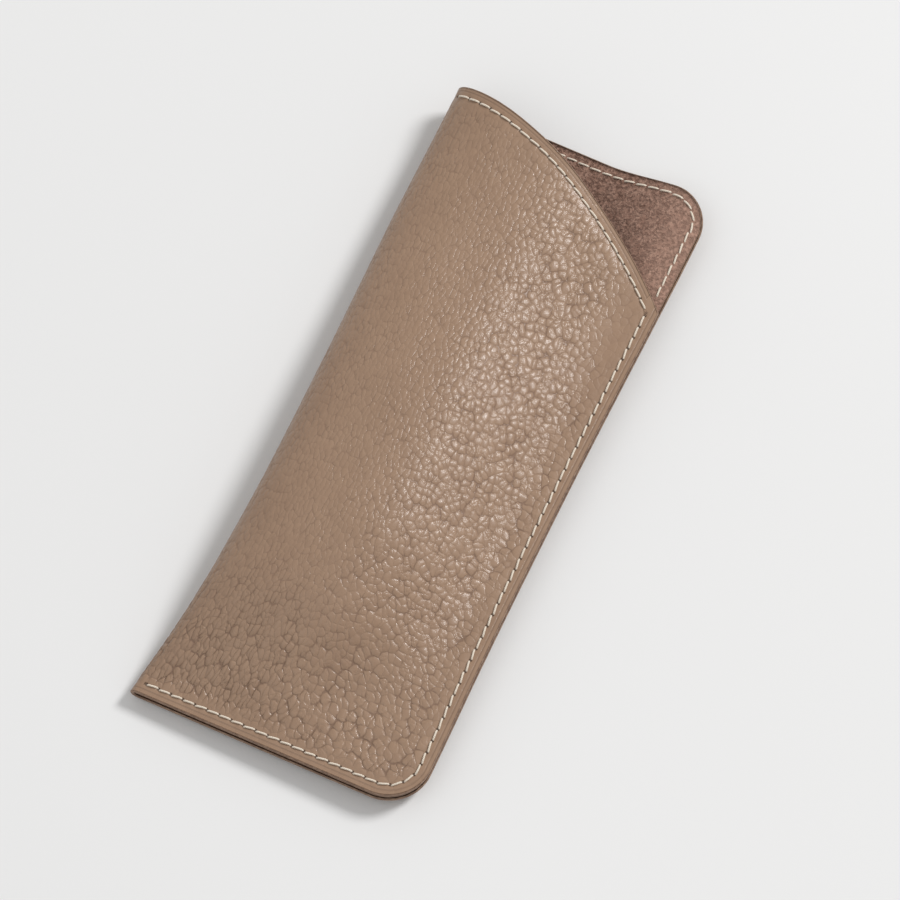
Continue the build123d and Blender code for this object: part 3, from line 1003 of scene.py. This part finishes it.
Seam = namedtuple("Seam", "name replaced line front depth outward slant tacks")
SEAMS = [
    Seam("closing_thread_front", "closing_seam_needle_thread", CLOSING, True, 0.0, 1, 0.34, 0),
    Seam("closing_thread_back", "closing_seam_bobbin_thread", CLOSING, False, 0.0, 1, -0.34, 0),
    Seam("mouth_thread_outside", "mouth_seam_needle_thread", MOUTH, True, 0.0, 1, 0.2, 0),
    Seam("mouth_thread_inside", "mouth_seam_bobbin_thread", MOUTH_INSIDE, True, INNER_DEPTH, -1, 0.2, 0),
    Seam("tab_thread_inside", "tab_seam_needle_thread", TAB, False, INNER_DEPTH, -1, 0.3, 3),
    Seam("tab_thread_back", "tab_seam_bobbin_thread", TAB, False, 0.0, 1, -0.3, 3),
]


def make_threads():
    """The six runs of thread."""
    made = thread_material()
    for seed, seam in enumerate(SEAMS):
        spots, normals = stitch_paths(
            seam.line, seam.front, seam.depth, seam.outward, seam.slant, seam.tacks, seed
        )
        piece = mesh_object(seam.name, *strand_tubes(spots, normals))
        piece.data.materials.append(made)
        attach(piece, "root")
        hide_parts(seam.replaced)


# ---------------------------------------------------------------- floor, light and camera

CAMERA_AZIMUTH = math.radians(25.2)
CAMERA_ELEVATION = math.radians(66.4)
CAMERA_DISTANCE = 2.0
CAMERA_LENS = 343.0
AIM_RIGHT = 5.25
AIM_DOWN = 3.35
Lamp = namedtuple("Lamp", "name azimuth elevation size power")  # azimuth in degrees from +Y towards +X
LAMPS = [
    Lamp("key", 38.0, 44.0, 0.8, 44.0),
    Lamp("fill", -150.0, 60.0, 2.2, 6.5),
]
LAMP_DISTANCE = 2.6
ROOM_COLOUR = (1.0, 0.995, 0.985, 1)
ROOM_STRENGTH = 0.51
FLOOR_HALF = 3.0  # metres
FLOOR_DROP = 0.00005  # metres below the case
FLOOR_DARK = (0.80, 0.80, 0.80, 1)
FLOOR_LIGHT = (0.82, 0.82, 0.82, 1)


def aimed(thing, place, target):
    """Puts a lamp or the camera at a place, looking at a target."""
    thing.location = place
    thing.rotation_euler = (Vector(target) - Vector(place)).to_track_quat("-Z", "Y").to_euler()
    bpy.context.collection.objects.link(thing)


def make_camera():
    """The camera, above the case and a little to the fold's side of its foot."""
    low, high = CAD_BOX
    centre = (low + high) / 2
    side, ahead = math.sin(CAMERA_AZIMUTH), math.cos(CAMERA_AZIMUTH)
    level, rise = math.cos(CAMERA_ELEVATION), math.sin(CAMERA_ELEVATION)
    right = Vector((ahead, side, 0))
    up = Vector((-side * rise, ahead * rise, level))
    target = centre + right * AIM_RIGHT * MM - up * AIM_DOWN * MM
    data = bpy.data.cameras.new("camera")
    data.lens = CAMERA_LENS
    data.sensor_width = 36.0
    data.clip_start = 0.01
    camera = bpy.data.objects.new("camera", data)
    aimed(camera, target + Vector((side * level, -ahead * level, rise)) * CAMERA_DISTANCE, target)
    bpy.context.scene.camera = camera


def area_lamp(lamp):
    """A soft round lamp that looks at the case."""
    data = bpy.data.lights.new(lamp.name, "AREA")
    data.shape = "DISK"
    data.size = lamp.size
    data.energy = lamp.power
    azimuth = math.radians(lamp.azimuth)
    elevation = math.radians(lamp.elevation)
    flat = math.cos(elevation) * LAMP_DISTANCE
    place = (math.sin(azimuth) * flat, math.cos(azimuth) * flat, math.sin(elevation) * LAMP_DISTANCE)
    aimed(bpy.data.objects.new(lamp.name, data), place, (0, 0, 0))


def make_lights():
    """A wide key from beyond the mouth's side, a weak fill, and an even room."""
    for lamp in LAMPS:
        area_lamp(lamp)
    world = bpy.data.worlds.new("room")
    world.use_nodes = True
    room = world.node_tree.nodes["Background"]
    room.inputs["Color"].default_value = ROOM_COLOUR
    room.inputs["Strength"].default_value = ROOM_STRENGTH
    bpy.context.scene.world = world
    bpy.context.scene.view_settings.view_transform = "Standard"


def make_floor():
    """A plain pale floor, just under what the case rests on."""
    mesh = bpy.data.meshes.new("floor")
    signs = [(-1, -1), (1, -1), (1, 1), (-1, 1)]
    mesh.from_pydata([(FLOOR_HALF * x, FLOOR_HALF * y, -FLOOR_DROP) for x, y in signs], [], [(0, 1, 2, 3)])
    made, tree, shader = material("pale_floor", {"Roughness": 0.95, "Specular IOR Level": 0.1})
    place = node(tree, "ShaderNodeTexCoord").outputs["Object"]
    grey = ramp(tree, noise(tree, place, 3.0, 1.0), 0.2, 0.8)
    feed(tree, shader.inputs["Base Color"], blend_colour(tree, grey, FLOOR_DARK, FLOOR_LIGHT))
    mesh.materials.append(made)
    floor = bpy.data.objects.new("floor", mesh)
    bpy.context.collection.objects.link(floor)


make_camera()
make_leather()
make_suede()
make_interlining()
make_threads()
make_lights()
make_floor()
